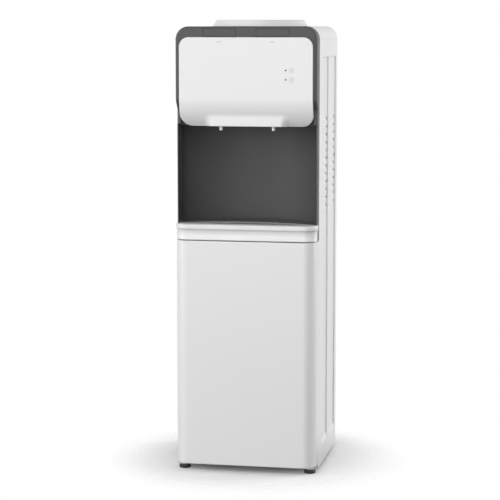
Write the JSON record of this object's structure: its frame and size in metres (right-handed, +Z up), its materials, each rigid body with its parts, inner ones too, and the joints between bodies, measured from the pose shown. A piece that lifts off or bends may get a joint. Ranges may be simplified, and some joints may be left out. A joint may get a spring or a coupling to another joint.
{
  "type": "water dispenser",
  "caption": "Free-standing hot and cold water dispenser: bottle collar on top, push-button tap bay with drip tray, and a storage cabinet behind a hinged lower door.",
  "frame": {"origin": "on the floor under the middle of the bounding box", "axes": "+Z up, -Y towards the person in front, +X to that person's right"},
  "size_m": [0.314, 0.31, 0.984],
  "materials": {
    "side_paint": "smooth white enamel",
    "white_plastic": "satin moulded white",
    "liner_plastic": "fine-grained moulded white",
    "dark_plastic": "fine-grained charcoal",
    "dark_gloss": "satin charcoal",
    "grey_plastic": "fine-grained light grey",
    "rubber": "matt black",
    "gasket_rubber": "soft grey",
    "zinc_steel": "zinc-plated sheet",
    "stainless": "fine brushed",
    "tap_plastic": "moulded off-white",
    "circuit_board": "lacquered laminate",
    "lens": "polished dark lens",
    "foam": "expanded foam",
    "felt": "needled felt",
    "copper": "drawn copper",
    "hose": "milky silicone",
    "back_sheet": "galvanised sheet",
    "black_paint": "black enamel"
  },
  "bodies": {
    "cabinet": {"back_panel": "back_sheet", "base_plate": "zinc_steel", "bottle_collar": "white_plastic", "bottle_probe": "liner_plastic", "cabinet_liner": "liner_plastic", "cold_jacket": "foam", "cold_tank": "stainless", "compressor": "black_paint", "compressor_grommets": "rubber", "condenser": "black_paint", "condenser_clips": "dark_plastic", "control_panel": "white_plastic", "cord_gland": "dark_plastic", "drain_spout": "tap_plastic", "evaporator_coil": "copper", "filter_drier": "copper", "front_shell": "dark_plastic", "funnel": "liner_plastic", "heater_band": "stainless", "hinge_bracket_upper": "zinc_steel", "hinge_pin_lower": "zinc_steel", "hood": "dark_plastic", "hot_jacket": "felt", "hot_tank": "stainless", "hot_tank_bracket": "zinc_steel", "indicator_board": "circuit_board", "indicator_lenses": "lens", "ledge": "white_plastic", "lever_pins": "zinc_steel", "lever_springs": "zinc_steel", "magnet_catch": "dark_plastic", "nozzles": "tap_plastic", "power_box": "dark_plastic", "rear_screws": "zinc_steel", "refrigerant_pipes": "copper", "side_panel_left": "side_paint", "side_panel_right": "side_paint", "switch_bezel": "dark_plastic", "tank_shelf": "zinc_steel", "taps": "tap_plastic", "thermostats": "stainless", "top_cover": "white_plastic", "water_hoses": "hose"},
    "door": {"door_shell": "white_plastic", "door_liner": "liner_plastic", "door_gasket": "gasket_rubber", "strike_plate": "zinc_steel"},
    "button_hot": {"button_hot": "dark_gloss"},
    "button_cold": {"button_cold": "dark_gloss"},
    "tap_lever_hot": {"tap_lever_hot": "tap_plastic"},
    "tap_lever_cold": {"tap_lever_cold": "tap_plastic"},
    "drip_tray": {"drip_tray": "grey_plastic"},
    "drip_grille": {"drip_grille": "grey_plastic"},
    "foot_front_left": {"foot_front_left": "rubber"},
    "foot_front_right": {"foot_front_right": "rubber"},
    "foot_rear_left": {"foot_rear_left": "rubber"},
    "foot_rear_right": {"foot_rear_right": "rubber"},
    "rocker_heat": {"rocker_heat": "dark_gloss"},
    "rocker_cool": {"rocker_cool": "dark_gloss"},
    "drain_cap": {"drain_cap": "tap_plastic"}
  },
  "joints": [
    {"name": "door_hinge", "type": "hinge", "parent": "cabinet", "child": "door", "pos_m": [0.147, -0.127, 0.262], "axis": [0, 0, 1], "range_deg": [0, 110]},
    {"name": "button_hot_press", "type": "slide", "parent": "cabinet", "child": "button_hot", "axis": [0, 1, 0], "range_m": [0, 0.004], "stiffness_N_per_m": 600},
    {"name": "button_cold_press", "type": "slide", "parent": "cabinet", "child": "button_cold", "axis": [0, 1, 0], "range_m": [0, 0.004], "stiffness_N_per_m": 600},
    {"name": "tap_lever_hot_rock", "type": "hinge", "parent": "cabinet", "child": "tap_lever_hot", "pos_m": [-0.0575, -0.119, 0.87], "axis": [1, 0, 0], "range_deg": [-3, 0]},
    {"name": "tap_lever_cold_rock", "type": "hinge", "parent": "cabinet", "child": "tap_lever_cold", "pos_m": [0.0575, -0.119, 0.87], "axis": [1, 0, 0], "range_deg": [-3, 0]},
    {"name": "drip_tray_lift", "type": "slide", "parent": "cabinet", "child": "drip_tray", "axis": [0, 0, 1], "range_m": [0, 0.06]},
    {"name": "drip_grille_lift", "type": "slide", "parent": "drip_tray", "child": "drip_grille", "axis": [0, 0, 1], "range_m": [0, 0.04]},
    {"name": "foot_front_left_turn", "type": "hinge", "parent": "cabinet", "child": "foot_front_left", "pos_m": [-0.14, -0.122, 0.007], "axis": [0, 0, 1], "continuous": true},
    {"name": "foot_front_right_turn", "type": "hinge", "parent": "cabinet", "child": "foot_front_right", "pos_m": [0.14, -0.122, 0.007], "axis": [0, 0, 1], "continuous": true},
    {"name": "foot_rear_left_turn", "type": "hinge", "parent": "cabinet", "child": "foot_rear_left", "pos_m": [-0.14, 0.135, 0.007], "axis": [0, 0, 1], "continuous": true},
    {"name": "foot_rear_right_turn", "type": "hinge", "parent": "cabinet", "child": "foot_rear_right", "pos_m": [0.14, 0.135, 0.007], "axis": [0, 0, 1], "continuous": true},
    {"name": "rocker_heat_tip", "type": "hinge", "parent": "cabinet", "child": "rocker_heat", "pos_m": [-0.012, 0.1312, 0.914], "axis": [-1, 0, 0], "range_deg": [0, 16]},
    {"name": "rocker_cool_tip", "type": "hinge", "parent": "cabinet", "child": "rocker_cool", "pos_m": [0.012, 0.1312, 0.914], "axis": [-1, 0, 0], "range_deg": [0, 16]},
    {"name": "drain_cap_turn", "type": "hinge", "parent": "cabinet", "child": "drain_cap", "pos_m": [-0.105, 0.1505, 0.215], "axis": [0, 1, 0], "continuous": true}
  ],
  "couplings": [
    {"joint": "tap_lever_hot_rock", "follows": "button_hot_press", "rad_per_m": -11.49},
    {"joint": "tap_lever_cold_rock", "follows": "button_cold_press", "rad_per_m": -11.49}
  ]
}
